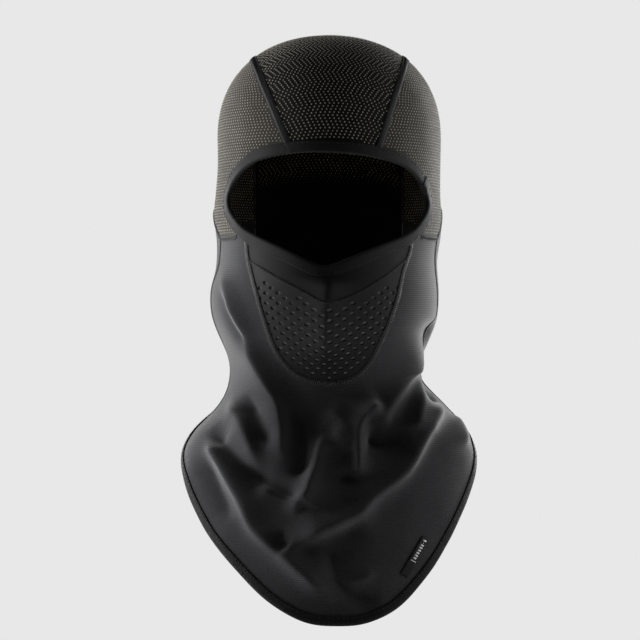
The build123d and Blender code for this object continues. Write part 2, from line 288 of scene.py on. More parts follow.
def crownRearOutline():
    side = curveThrough(pattern["crownRear"])
    lowX, lowZ = side[-1]
    across = np.linspace(lowX, -lowX, 25)[1:-1]
    nape = np.stack([across, lowZ - pattern["napeDrop"] * (1 - (across / lowX) ** 2)], axis=1)
    return np.concatenate([[(54.5, 400)], side, nape, side[::-1] * [-1, 1], [(-54.5, 400)]])


def inCrown(base):
    front = outlineDistance(base[:, [0, 2]], crownFrontOutline())
    rear = outlineDistance(base[:, [0, 2]], crownRearOutline())
    return np.where(base[:, 1] < 0, front, rear)


def aboveCheek(base):
    line = curveThrough(pattern["cheek"])
    corner = pattern["cheekCorner"]
    outline = np.concatenate([line, [(400, -12), (400, 400), (-400, 400), (-400, -8), (corner[0], -8),
                                     corner]])
    return outlineDistance(base[:, [1, 2]], outline)


def inFront(base, outline):
    return np.where(base[:, 1] < 0, outlineDistance(base[:, [0, 2]], outline), 50.0)


def inMouth(base):
    return inFront(base, curveThrough(pattern["mouth"]))


def inNose(base):
    line = curveThrough(pattern["nose"])
    return inFront(base, np.concatenate([line, [(60, 0), (-62, 0)]]))


def inOpening(base):
    return inFront(base, openingOutline(pattern["edgeAllowance"]))


def aheadOfJoin(base):
    outline = np.concatenate([curveThrough(pattern["join"]),
                              [(7, -400), (-400, -400), (-400, 100), (-31, 100)]])
    return outlineDistance(base[:, [1, 2]], outline)


def hemLevel(turn):
    line = curveThrough(pattern["hem"], 8)
    return np.interp(np.degrees(turn), line[:, 0], line[:, 1])


def relax(bm):
    bmesh.ops.smooth_vert(bm, verts=bm.verts, factor=0.5, use_axis_x=True, use_axis_y=True, use_axis_z=True)


# ---------- the base cloth, one closed skin that the panels are cut from
print("cloth: base skin")

cloth = bmesh.new()
uvLayer = cloth.loops.layers.uv.new("weave")
baseLayer = cloth.verts.layers.float_vector.new("base")
turnLayer = cloth.verts.layers.float.new("turn")
fieldLayer = cloth.verts.layers.float.new("field")
panelLayer = cloth.faces.layers.int.new("panel")

rowCount = worn["bodyRows"] + worn["domeRows"]
bmesh.ops.create_grid(cloth, x_segments=worn["columns"], y_segments=rowCount, size=0.5)
gridPlaces = np.array([vert.co for vert in cloth.verts])
turns = gridPlaces[:, 0] * 2 * math.pi
rows = (gridPlaces[:, 1] + 0.5) * rowCount
places = wornPoint(turns, rows)

profileRows = np.arange(rowCount + 1)
profile = wornPoint(np.full(rowCount + 1, 1.0), profileRows)
weaveV = np.interp(rows, profileRows, lengthAlong(profile))
weaveU = turns * worn["weaveRadius"]

for vert, place, turn in zip(cloth.verts, places, turns):
    vert.co = place
    vert[baseLayer] = place
    vert[turnLayer] = turn
cloth.verts.index_update()
for face in cloth.faces:
    for loop in face.loops:
        loop[uvLayer].uv = (weaveU[loop.vert.index] * mm, weaveV[loop.vert.index] * mm)
bmesh.ops.remove_doubles(cloth, verts=cloth.verts, dist=0.01)
bmesh.ops.recalc_face_normals(cloth, faces=cloth.faces)
cloth.normal_update()

base = np.array([vert[baseLayer] for vert in cloth.verts])
normals = np.array([vert.normal for vert in cloth.verts])
outwards = np.sum(normals * (base - [0, 0, -60]) * [1, 1, 0.3], axis=1)
if np.sum(outwards) < 0:
    bmesh.ops.reverse_faces(cloth, faces=cloth.faces)
    normals = -normals

lift = foldHeight(base) + softWaves(base, [(46, 0.7), (90, 1.0)], 3) * smoothStep((-60 - base[:, 2]) / 60)
lift += softWaves(base, [(60, 0.35)], 5)
places = base + normals * lift[:, None]
for vert, place in zip(cloth.verts, places):
    vert.co = place * mm
relax(cloth)


# ---------- cutting along the seam lines
onLineWithin = 0.04       # a point this near a line counts as on it


def cutAlong(bm, distance, panel):
    # splits every edge of a panel that crosses the line, and joins the new points across the faces
    bm.verts.index_update()
    bases = np.array([vert[baseLayer] for vert in bm.verts])
    values = distance(bases)
    values[np.abs(values) < onLineWithin] = 0
    for vert, value in zip(bm.verts, values):
        vert[fieldLayer] = value
    edges = [edge for edge in bm.edges if any(face[panelLayer] == panel for face in edge.link_faces)]
    onLine = [vert for vert in bm.verts if vert[fieldLayer] == 0]
    for edge in edges:
        a, b = edge.verts
        da, db = a[fieldLayer], b[fieldLayer]
        if da * db < 0:
            _, vert = bmesh.utils.edge_split(edge, a, da / (da - db))
            vert[fieldLayer] = 0
            onLine.append(vert)
    bmesh.ops.connect_verts(bm, verts=onLine)
    inside = []
    for face in bm.faces:
        if face[panelLayer] == panel and sum(vert[fieldLayer] for vert in face.verts) < 0:
            inside.append(face)
    return inside


def setPanel(faces, panel):
    for face in faces:
        face[panelLayer] = panel


num = {"rest": 0, "crown": 1, "side": 2, "mouth": 3, "nose": 4, "front": 5, "back": 6}

print("cloth: cutting the panels")
bmesh.ops.delete(cloth, geom=cutAlong(cloth, inOpening, num["rest"]), context="FACES")


def belowHem(bases):
    half = np.array(sectionAt(bases[:, 2]))       # half width, front depth, back depth, lean
    depth = np.where(bases[:, 1] < 0, half[1], half[2])
    turn = np.arctan2((bases[:, 0] - half[3]) / half[0], -bases[:, 1] / depth)
    return bases[:, 2] - hemLevel(turn) - worn["hemAllowance"]


bmesh.ops.delete(cloth, geom=cutAlong(cloth, belowHem, num["rest"]), context="FACES")
setPanel(cutAlong(cloth, inCrown, num["rest"]), num["crown"])
setPanel(cutAlong(cloth, aboveCheek, num["rest"]), num["side"])
setPanel(cutAlong(cloth, inMouth, num["rest"]), num["mouth"])
setPanel(cutAlong(cloth, inNose, num["mouth"]), num["nose"])
setPanel(cutAlong(cloth, aheadOfJoin, num["rest"]), num["front"])
setPanel([face for face in cloth.faces if face[panelLayer] == num["rest"]], num["back"])
bmesh.ops.dissolve_degenerate(cloth, dist=0.00002, edges=cloth.edges)
cloth.normal_update()
for name, number in num.items():
    print("  ", name, sum(1 for face in cloth.faces if face[panelLayer] == number))


# ---------- seam lines, read off the cut cloth
print("seams: reading the lines")

skin = BVHTree.FromBMesh(cloth)


def runsOf(edges):
    links = {}
    for edge in edges:
        a, b = edge.verts
        links.setdefault(a, []).append(b)
        links.setdefault(b, []).append(a)
    runs = []
    while links:
        start = next((vert for vert in links if len(links[vert]) == 1), next(iter(links)))
        run = [start]
        while links.get(run[-1]):
            here = run[-1]
            ahead = links[here].pop()
            links[ahead].remove(here)
            for vert in (here, ahead):
                if vert in links and not links[vert]:
                    del links[vert]
            run.append(ahead)
        runs.append(np.array([vert.co for vert in run]))
    return sorted(runs, key=lambda run: -lengthAlong(run)[-1])


def boundary(one, others):
    found = []
    for edge in cloth.edges:
        tags = [face[panelLayer] for face in edge.link_faces]
        if len(tags) == 2 and any(a == one and b in others for a, b in (tags, tags[::-1])):
            found.append(edge)
    return found


def evenPath(run, step, closed=False, smoothing=6):
    if closed:
        run = np.concatenate([run, run[:1]]) if np.linalg.norm(run[0] - run[-1]) > 1e-5 else run
    along = lengthAlong(run)
    count = max(4, int(round(along[-1] / (step * mm))))
    marks = np.linspace(0, along[-1], count + 1)
    path = np.stack([np.interp(marks, along, run[:, axis]) for axis in range(3)], axis=1)
    if closed:
        path = path[:-1]
    return smoothed(path, smoothing, closed)


def smoothed(values, times, closed):
    for _ in range(times):
        before, after = np.roll(values, 1, axis=0), np.roll(values, -1, axis=0)
        blended = 0.25 * before + 0.5 * values + 0.25 * after
        if not closed:
            blended[0], blended[-1] = values[0], values[-1]
        values = blended
    return values


def unit(vectors):
    return vectors / np.maximum(np.linalg.norm(vectors, axis=1), 1e-9)[:, None]


def framesAlong(path, closed):
    # direction along, outward from the cloth, and sideways
    if closed:
        ahead = unit(np.roll(path, -1, axis=0) - np.roll(path, 1, axis=0))
    else:
        ahead = unit(np.gradient(path, axis=0))
    out = np.array([skin.find_nearest(Vector(point))[1] for point in path])
    out = unit(smoothed(out, 8, closed))
    side = unit(np.cross(ahead, out))
    return ahead, out, side


openEdges = [edge for edge in cloth.edges if len(edge.link_faces) == 1]
faceRun = runsOf([edge for edge in openEdges if edge.verts[0].co.z > -0.08])[0]
hemRun = runsOf([edge for edge in openEdges if edge.verts[0].co.z < -0.12])[0]


def halfOf(edges, sign):
    return [edge for edge in edges if sign * (edge.verts[0].co.x + edge.verts[1].co.x) > 0]


crownRuns = runsOf(boundary(num["crown"], {num["side"]}))[:2]
cheekEdges = boundary(num["side"], {num["front"], num["back"]})
joinEdges = boundary(num["front"], {num["back"]})
seamRuns = {
    "nape_seam": runsOf(boundary(num["crown"], {num["back"]}))[0],
    "mouth_seam": runsOf(boundary(num["mouth"], {num["front"]}) + boundary(num["nose"], {num["front"]}))[0],
    "nose_seam": runsOf(boundary(num["nose"], {num["mouth"]}))[0],
    "cheek_seam_left": runsOf(halfOf(cheekEdges, 1))[0],
    "cheek_seam_right": runsOf(halfOf(cheekEdges, -1))[0],
    "neck_seam_left": runsOf(halfOf(joinEdges, 1))[0],
    "neck_seam_right": runsOf(halfOf(joinEdges, -1))[0],
}
for run in crownRuns:
    seamRuns["crown_seam_left" if run[:, 0].mean() > 0 else "crown_seam_right"] = run
for name, run in seamRuns.items():
    print("  ", name, round(float(lengthAlong(run)[-1]), 3))


# ---------- making pieces
def addObject(bm, name, look, smooth=True):
    mesh = bpy.data.meshes.new(name)
    bm.to_mesh(mesh)
    bm.free()
    piece = bpy.data.objects.new(name, mesh)
    bpy.context.collection.objects.link(piece)
    mesh.materials.append(look)
    if smooth:
        mesh.polygons.foreach_set("use_smooth", [True] * len(mesh.polygons))
    return piece


def declare(piece, node):
    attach(piece, "root")
    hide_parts(node)
    return piece


def sweep(rings, closed):
    # rings: one array of points for each step along, every ring closed; a grid is bent to them
    count, around = len(rings), len(rings[0])
    steps = count if closed else count - 1
    bm = bmesh.new()
    uv = bm.loops.layers.uv.new("weave")
    bmesh.ops.create_grid(bm, x_segments=steps, y_segments=around, size=0.5)
    cells = [(round((vert.co.x + 0.5) * steps), round((vert.co.y + 0.5) * around)) for vert in bm.verts]
    path = np.array([ring.mean(axis=0) for ring in rings])
    along = np.append(lengthAlong(path), 0)
    along[-1] = along[-2] + np.linalg.norm(path[0] - path[-1])
    rim = np.append(lengthAlong(rings[0]), 0)
    rim[-1] = rim[-2] + np.linalg.norm(rings[0][0] - rings[0][-1])
    bm.verts.index_update()
    for face in bm.faces:
        for loop in face.loops:
            column, row = cells[loop.vert.index]
            loop[uv].uv = (along[column], rim[row])
    for vert, (column, row) in zip(bm.verts, cells):
        vert.co = rings[column % count][row % around]
    bmesh.ops.remove_doubles(bm, verts=bm.verts, dist=1e-6)
    if not closed:
        bmesh.ops.holes_fill(bm, edges=bm.edges, sides=0)
    bmesh.ops.recalc_face_normals(bm, faces=bm.faces)
    return bm


def beads(places, sides, chunk=120):
    # many little thread ends: each is (centre, along, up, half length, half width, half height) in metres
    whole = bmesh.new()
    for start in range(0, len(places), chunk):
        part = bmesh.new()
        for centre, along, up, long, wide, high in places[start:start + chunk]:
            across = np.cross(up, along)
            turn = Matrix((along * long, across * wide, up * high)).transposed().to_4x4()
            turn.translation = Vector(centre)
            if sides == "dot":
                bmesh.ops.create_cone(part, cap_ends=True, segments=6, radius1=1, radius2=0.62, depth=1,
                                      matrix=turn)
            else:
                bmesh.ops.create_icosphere(part, subdivisions=1, radius=1, matrix=turn)
        mesh = bpy.data.meshes.new("part")
        part.to_mesh(mesh)
        part.free()
        whole.from_mesh(mesh)
        bpy.data.meshes.remove(mesh)
    return whole


# ---------- looks
print("looks")


def addNode(nodes, kind, values, **settings):
    node = nodes.new("ShaderNode" + kind)
    for setting, value in settings.items():
        setattr(node, setting, value)
    for socket, value in values.items():
        node.inputs[socket].default_value = value
    return node


mottle = {"fine": 720.0, "broad": 36.0}      # noise scales of the colour's unevenness


def fabric(name, dark, light, rough, sheen, specular, bumps):
    # bumps: (kind, coordinate, scale, strength, depth in millimetres, how much it darkens)
    material = bpy.data.materials.new(name)
    material.use_nodes = True
    nodes, links = material.node_tree.nodes, material.node_tree.links
    shader = nodes["Principled BSDF"]
    for socket, value in {"Roughness": rough, "Sheen Weight": sheen, "Sheen Roughness": 0.35,
                          "Sheen Tint": (1, 1, 1, 1), "Specular IOR Level": specular}.items():
        shader.inputs[socket].default_value = value
    coordinates = nodes.new("ShaderNodeTexCoord")

    def noise(scale, detail):
        cloud = addNode(nodes, "TexNoise", {"Scale": scale, "Detail": detail})
        links.new(coordinates.outputs["Object"], cloud.inputs["Vector"])
        return cloud.outputs["Fac"]

    mixFine = addNode(nodes, "Mix", {"A": (*dark, 1), "B": (*light, 1)}, data_type="RGBA")
    ramp = addNode(nodes, "MapRange", {"From Min": 0.3, "From Max": 0.7})
    add = addNode(nodes, "Math", {1: 0.5}, operation="MULTIPLY_ADD")
    half = addNode(nodes, "Math", {1: 0.5}, operation="MULTIPLY")
    links.new(noise(mottle["fine"], 4), add.inputs[0])
    links.new(noise(mottle["broad"], 3), half.inputs[0])
    links.new(half.outputs[0], add.inputs[2])
    links.new(add.outputs[0], ramp.inputs["Value"])
    links.new(ramp.outputs["Result"], mixFine.inputs["Factor"])
    color = mixFine.outputs["Result"]
    height = None
    for kind, coordinate, scale, strength, distance, tone in bumps:
        if kind == "noise":
            texture = addNode(nodes, "TexNoise", {"Detail": 3, "Scale": scale})
        elif kind == "voronoi":
            texture = addNode(nodes, "TexVoronoi", {"Scale": scale})
        else:
            values = {"Scale": scale, "Distortion": 0.6, "Detail": 2, "Detail Scale": 2}
            texture = addNode(nodes, "TexWave", values, bands_direction=kind)
        out = texture.outputs["Distance" if kind == "voronoi" else "Fac"]
        links.new(coordinates.outputs[coordinate], texture.inputs["Vector"])
        bump = addNode(nodes, "Bump", {"Strength": strength, "Distance": distance * mm})
        links.new(out, bump.inputs["Height"])
        if height is not None:
            links.new(height, bump.inputs["Normal"])
        height = bump.outputs["Normal"]
        if tone:
            darken = addNode(nodes, "Mix", {"Factor": 1}, data_type="RGBA", blend_type="MULTIPLY")
            share = addNode(nodes, "MapRange", {"To Min": 1 - tone})
            links.new(out, share.inputs["Value"])
            links.new(color, darken.inputs["A"])
            links.new(share.outputs["Result"], darken.inputs["B"])
            color = darken.outputs["Result"]
    links.new(color, shader.inputs["Base Color"])
    links.new(height, shader.inputs["Normal"])
    return material


# a wave texture repeats every 1 / (scale x 3.18) of its coordinate
def waveScale(pitch):
    return 2 * math.pi / (20 * pitch * mm)


# dark and light colour, roughness, sheen, specular, then the bumps
finishes = {
    "brushed_twill": ((0.03, 0.03, 0.033), (0.053, 0.053, 0.057), 0.85, 0.5, 0.12, [
        ("Y", "UV", waveScale(1.3), 0.55, 0.15, 0.28),
        ("DIAGONAL", "UV", waveScale(0.9), 0.3, 0.08, 0.2),
        ("noise", "Object", 2600, 0.35, 0.12, 0)]),
    "dotted_mesh": ((0.006, 0.006, 0.0055), (0.013, 0.013, 0.011), 0.75, 0.02, 0.1, [
        ("X", "UV", waveScale(0.8), 0.5, 0.1, 0.3),
        ("Y", "UV", waveScale(0.7), 0.5, 0.1, 0.3)]),
    # the side panels: the crown's dotted mesh colour made lighter and warmer, painted light from the side
    # lamps on the same cloth
    "side_mesh_painted_light": ((0.035, 0.033, 0.027), (0.07, 0.066, 0.052), 0.75, 0.1, 0.1, [
        ("X", "UV", waveScale(0.8), 0.5, 0.1, 0.3),
        ("Y", "UV", waveScale(0.7), 0.5, 0.1, 0.3)]),
    "dot": ((0.32, 0.3, 0.25), (0.48, 0.45, 0.38), 0.5, 0.0, 0.3, [
        ("noise", "Object", 2500, 0.3, 0.05, 0)]),
    # the dots seen inside: the dot colour made lighter and warmer, painted light coming through the mesh
    "inner_dot_painted_light": ((0.4, 0.33, 0.22), (0.6, 0.5, 0.33), 0.55, 0.0, 0.3, [
        ("noise", "Object", 2500, 0.3, 0.05, 0)]),
    "elastic_tape": ((0.007, 0.007, 0.0075), (0.016, 0.016, 0.017), 0.65, 0.03, 0.15, [
        ("X", "UV", waveScale(0.7), 0.5, 0.08, 0.25),
        ("Y", "UV", waveScale(0.55), 0.4, 0.05, 0.2)]),
    "smooth_knit": ((0.005, 0.005, 0.0055), (0.01, 0.01, 0.011), 0.65, 0.02, 0.15, [
        ("X", "UV", waveScale(0.75), 0.5, 0.08, 0.25),
        ("Y", "UV", waveScale(0.9), 0.3, 0.06, 0.2)]),
    "perforated_knit": ((0.005, 0.005, 0.0055), (0.01, 0.01, 0.011), 0.62, 0.02, 0.2, [
        ("X", "UV", waveScale(0.8), 0.5, 0.08, 0.25),
        ("Y", "UV", waveScale(0.8), 0.3, 0.06, 0.2)]),
    "lining_mesh": ((0.2, 0.2, 0.205), (0.32, 0.32, 0.325), 0.75, 0.05, 0.15, [
        ("voronoi", "Object", 1100, 0.8, 0.2, 0.6)]),
    "black_thread": ((0.006, 0.006, 0.006), (0.016, 0.016, 0.017), 0.55, 0.04, 0.25, [
        ("noise", "Object", 3500, 0.5, 0.08, 0)]),
    "grey_thread": ((0.045, 0.045, 0.047), (0.085, 0.085, 0.088), 0.55, 0.04, 0.3, [
        ("noise", "Object", 3500, 0.5, 0.08, 0)]),
    "woven_label": ((0.008, 0.008, 0.0085), (0.014, 0.014, 0.015), 0.6, 0.02, 0.15, [
        ("X", "UV", waveScale(0.35), 0.4, 0.04, 0.2)]),
    "label_mark": ((0.6, 0.6, 0.6), (0.75, 0.75, 0.75), 0.6, 0.1, 0.3, [
        ("noise", "Object", 4000, 0.3, 0.04, 0)]),
    "floor": ((0.8, 0.8, 0.8), (0.82, 0.82, 0.82), 0.9, 0.0, 0.3, [
        ("noise", "Object", 40, 0.05, 0.3, 0)]),
}
looks = {name: fabric(name, *facts) for name, facts in finishes.items()}


# ---------- the cloth panels
print("pieces: panels")


def panelPart(number, side=0):
    part = cloth.copy()
    panel = part.faces.layers.int["panel"]
    unwanted = [face for face in part.faces
                if face[panel] != number or side * face.calc_center_median().x < 0]
    bmesh.ops.delete(part, geom=unwanted, context="FACES")
    return part


def addWall(piece, thickness):
    wall = piece.modifiers.new("wall", "SOLIDIFY")
    wall.thickness = thickness * mm
    wall.offset = -1
    return piece


panels = {
    # panel, side of the body (0 is both), CAD node, slot, look
    "crown_cloth": ("crown", 0, "crown_panel", "dotted_mesh", "dotted_mesh"),
    # the side panels take the lighter copy of the dotted mesh colour: painted side light
    "side_cloth_left": ("side", 1, "side_panel_left", "dotted_mesh", "side_mesh_painted_light"),
    "side_cloth_right": ("side", -1, "side_panel_right", "dotted_mesh", "side_mesh_painted_light"),
    "nose_cloth": ("nose", 0, "nose_panel", "smooth_knit", "smooth_knit"),
    "front_cloth": ("front", 0, "front_panel", "brushed_twill", "brushed_twill"),
    "back_cloth": ("back", 0, "back_neck_panel", "brushed_twill", "brushed_twill"),
}

for name, (panel, side, node, slotName, look) in panels.items():
    piece = addObject(panelPart(num[panel], side), name, looks[look])
    addWall(piece, worn["clothThickness"])
    declare(piece, node)

# ---------- the breathing panel, cut with staggered holes
mouthPanel = {
    "pitch": 8.2, "rowPitch": 3.45, "halfWidth": 1.5, "halfHeight": 1.15, "keepOff": 3.2, "keepOffNose": 2.6,
    "spread": 79, "frontRadius": 80, "thickness": 0.9, "liningDepth": 1.1, "liningThickness": 0.4,
}
solidCloth = 5.0       # any distance well clear of a hole


def mouthHoles(bases):
    # below zero inside a hole
    turn = np.arctan2(bases[:, 0], -bases[:, 1])
    across = turn * mouthPanel["spread"]
    row = np.round(bases[:, 2] / mouthPanel["rowPitch"])
    shift = (row % 2) * mouthPanel["pitch"] / 2
    column = np.round((across - shift) / mouthPanel["pitch"])
    dx = (across - shift - column * mouthPanel["pitch"]) / mouthPanel["halfWidth"]
    dz = (bases[:, 2] - row * mouthPanel["rowPitch"]) / mouthPanel["halfHeight"]
    hole = (np.hypot(dx, dz) - 1) * mouthPanel["halfHeight"]
    centre = np.stack([column * mouthPanel["pitch"] + shift, row * mouthPanel["rowPitch"]], axis=1)
    centre[:, 0] = np.sin(centre[:, 0] / mouthPanel["spread"]) * mouthPanel["frontRadius"]
    edge = outlineDistance(centre, curveThrough(pattern["mouth"]))
    noseLine, noseSide, _ = nearestOnLine(centre, curveThrough(pattern["nose"]))
    clear = (edge < -mouthPanel["keepOff"]) & (noseLine > mouthPanel["keepOffNose"]) & (noseSide < 0)
    return np.where(clear, hole, solidCloth)


mouthPart = panelPart(num["mouth"])
# cutAlong reads these names, so from here on they belong to the mouth panel
fieldLayer = mouthPart.verts.layers.float["field"]
baseLayer = mouthPart.verts.layers.float_vector["base"]
panelLayer = mouthPart.faces.layers.int["panel"]
liningPart = mouthPart.copy()
bmesh.ops.subdivide_edges(mouthPart, edges=mouthPart.edges, cuts=2, use_grid_fill=True)
bmesh.ops.triangulate(mouthPart, faces=[face for face in mouthPart.faces if len(face.verts) > 4])
holes = cutAlong(mouthPart, mouthHoles, num["mouth"])
print("   hole faces", len(holes), "of", len(mouthPart.faces))
bmesh.ops.delete(mouthPart, geom=holes, context="FACES")
mouthPiece = addObject(mouthPart, "mouth_cloth", looks["perforated_knit"])
addWall(mouthPiece, mouthPanel["thickness"])
declare(mouthPiece, "mouth_panel")

liningPart.normal_update()
for vert, normal in [(vert, vert.normal.copy()) for vert in liningPart.verts]:
    vert.co -= normal * mouthPanel["liningDepth"] * mm
liningPiece = addObject(liningPart, "mouth_lining_mesh", looks["lining_mesh"])
addWall(liningPiece, mouthPanel["liningThickness"])
declare(liningPiece, "mouth_lining")

# ---------- flat seams
print("pieces: seams")

flatlock = {"halfWidth": 1.8, "rise": 0.55, "step": 1.0, "loopPitch": 1.55}
seamLooks = {
    "crown_seam_left": ("black_thread", 1.55), "crown_seam_right": ("black_thread", 1.55),
    "nape_seam": ("black_thread", 0.6), "nose_seam": ("black_thread", 0.45),
    "cheek_seam_left": ("grey_thread", 0.8), "cheek_seam_right": ("grey_thread", 0.8),
    "neck_seam_left": ("grey_thread", 0.7), "neck_seam_right": ("grey_thread", 0.7),
    "mouth_seam": ("grey_thread", 1.12),
}
seamPaths = {}


def jitter(spread):
    return 1 + chance.uniform(-spread, spread)


for name, (look, share) in seamLooks.items():
    path = evenPath(seamRuns[name], flatlock["step"])
    ahead, out, side = framesAlong(path, False)
    seamPaths[name] = path
    half = flatlock["halfWidth"] * share * mm
    rise = flatlock["rise"] * mm * (0.5 + 0.5 * share)
    shape = [(-1, -0.6), (-1.0, 0.3), (-0.72, 0.85), (-0.3, 1.0), (0, 0.8), (0.3, 1.0), (0.72, 0.85),
             (1.0, 0.3), (1, -0.6), (0, -0.7)]
    rings = [np.array([p + s * half * a + o * rise * h for a, h in shape])
             for p, o, s in zip(path, out, side)]
    band = addObject(sweep(rings, False), name + "_band", looks["black_thread"])
    declare(band, name)
    finePath = evenPath(seamRuns[name], flatlock["loopPitch"])
    ahead, out, side = framesAlong(finePath, False)
    places = []
    for p, a, o, s in zip(finePath, ahead, out, side):
        # one loop across the band and a short chain stitch at each side of it
        lean = math.radians(18 * jitter(0.3))
        across = math.sin(lean) * a + math.cos(lean) * s
        places.append((p + o * rise * 1.05, across, o, half * 0.8 * jitter(0.06), 0.3 * mm,
                       0.34 * mm * jitter(0.12)))
        for hand in (-1, 1):
            centre = p + hand * s * half * 0.92 + a * 0.35 * mm + o * rise * 0.8
            places.append((centre, a, o, 0.62 * mm * jitter(0.1), 0.26 * mm, 0.28 * mm * jitter(0.15)))
    threads = addObject(beads(places, "thread"), name + "_threads", looks[look])
    declare(threads, name)

# ---------- elastic tape folded over the two free edges
print("pieces: bindings")

tapes = {
    "face_binding": {"run": faceRun, "width": 7.0, "stitchRows": [5.6], "middle": (0, -0.1, -0.015)},
    "hem_binding": {"run": hemRun, "width": 5.6, "stitchRows": [1.1, 4.3], "middle": (0, 0, -0.33)},
}
ribStep = 0.62
ribRise = 0.11
stitchStep = 5.4       # in ribs


def tapeFrames(path, middle, reaches, closed=True):
    # cloth surface and outward direction at a few reaches in from the free edge
    ahead, out, side = framesAlong(path, closed)
    away = side * np.sign(np.sum(side * (path - np.array(middle)), axis=1).mean())
    stations = []
    for reach in reaches:
        if reach <= 0:
            stations.append((path + away * reach * mm, out))
            continue
        hits = [skin.find_nearest(Vector(p + a * reach * mm)) for p, a in zip(path, away)]
        spots = smoothed(np.array([hit[0] for hit in hits]), 3, closed)
        facing = unit(smoothed(np.array([hit[1] for hit in hits]), 8, closed))
        stations.append((spots, facing))
    return ahead, away, stations


def tapePoint(stations, reaches, index, reach, height):
    reach = min(max(reach, reaches[0]), reaches[-1])
    upper = next(i for i in range(1, len(reaches)) if reach <= reaches[i])
    t = (reach - reaches[upper - 1]) / (reaches[upper] - reaches[upper - 1])
    spot = stations[upper - 1][0][index] * (1 - t) + stations[upper][0][index] * t
    facing = stations[upper - 1][1][index] * (1 - t) + stations[upper][1][index] * t
    return spot + facing * height * mm


def tapeShape(width):
    return [(width, 0.05), (width, 0.7), (width - 0.5, 0.95), (width - 1.2, 0.85), (width - 1.6, 0.95),
            (2.2, 1.0), (0.9, 1.05), (0.0, 0.95), (-0.7, 0.55), (-1.0, -0.1), (-1.0, -1.0), (-0.7, -1.65),
            (0.0, -2.05), (1.5, -2.1), (width - 0.8, -2.1), (width - 0.3, -1.8), (width - 0.3, -1.25),
            (1.0, -1.25), (0.1, -1.1), (0.1, -0.1), (1.0, 0.02)]


def tapeFace(height):
    return 1 if height > 0.3 else (-1 if height < -1.5 else 0)       # outer face, inner face or neither


for name, facts in tapes.items():
    width = facts["width"]
    reaches = [-1.2, 0.0, width * 0.35, width * 0.7, width]
    path = evenPath(facts["run"], ribStep, closed=True, smoothing=30)
    ahead, away, stations = tapeFrames(path, facts["middle"], reaches)
    shape = tapeShape(width)
    rings = []
    for index in range(len(path)):
        rib = ribRise if index % 2 else -ribRise
        puff = rib + 0.05 * math.sin(index * 0.13) + 0.04 * math.sin(index * 0.047)
        ring = []
        for reach, height in shape:
            outer = tapeFace(height)
            swell = 0 if outer else -abs(puff) * (reach < -0.5)
            ring.append(tapePoint(stations, reaches, index, reach + swell, height + outer * puff))
        rings.append(np.array(ring))
    tape = addObject(sweep(rings, True), name + "_tape", looks["elastic_tape"])
    declare(tape, name)
    facts["path"] = path
    places = []
    for stitchRow in facts["stitchRows"]:
        for at in np.arange(0, len(path) - 3, stitchStep):
            index = int(at)
            spot = tapePoint(stations, reaches, index, stitchRow + chance.uniform(-0.08, 0.08), 1.0)
            lean = ahead[index] + away[index] * chance.uniform(-0.1, 0.1)
            up = np.array(stations[2][1][index])
            lean = lean / np.linalg.norm(lean)
            places.append((spot, lean, up, 1.05 * mm * jitter(0.1), 0.26 * mm, 0.24 * mm))
    stitches = addObject(beads(places, "thread"), name + "_stitches", looks["black_thread"])
    declare(stitches, name + "_stitch")
    facts["frames"] = (ahead, away, stations, reaches)

# where the two ends of the tape overlap, at the wearer's left of the opening
lap = {"at": (70, 3), "length": 9.0, "lift": 0.75}
path = tapes["face_binding"]["path"]
ahead, away, stations, reaches = tapes["face_binding"]["frames"]
nearest = int(np.argmin(np.hypot(path[:, 0] / mm - lap["at"][0], path[:, 2] / mm - lap["at"][1])))
halfCount = int(lap["length"] / ribStep / 2)
rings = []
for k in range(-halfCount, halfCount + 1):
    index = (nearest + k) % len(path)
    ends = math.sqrt(max(0.05, 1 - abs(k / halfCount) ** 6))
    ring = [tapePoint(stations, reaches, index, reach + (0.3 if reach > 5 else (-0.5 if reach < 0 else 0)),
                      height + lap["lift"] * ends * tapeFace(height))
            for reach, height in tapeShape(tapes["face_binding"]["width"])]
    rings.append(np.array(ring))
lapPiece = addObject(sweep(rings, False), "face_binding_lap", looks["elastic_tape"])
declare(lapPiece, "face_binding")

# ---------- raised dots of the mesh cloth
print("pieces: dots")

dots = {"pitch": 3.1, "rowPitch": 2.0, "shift": 1.1, "period": 8, "radius": 0.56, "rise": 0.32,
        "keepOff": 3.1, "keepOffEdge": 8.0, "sideLow": -70.0, "sideHigh": 150}
seamTree = KDTree(sum(len(path) for path in seamPaths.values()))
for point in [point for path in seamPaths.values() for point in path]:
    seamTree.insert(Vector(point), 0)
seamTree.balance()
edgeTree = KDTree(len(tapes["face_binding"]["path"]))
for point in tapes["face_binding"]["path"]:
    edgeTree.insert(Vector(point), 0)
edgeTree.balance()
panelOfFace = [face[cloth.faces.layers.int["panel"]] for face in cloth.faces]
dotPlaces = {"crown_dots": [], "side_dots_left": [], "side_dots_right": [], "inner_dots": []}


def zigzag(row):
    return dots["shift"] * abs((row % dots["period"]) - dots["period"] / 2) / (dots["period"] / 4)


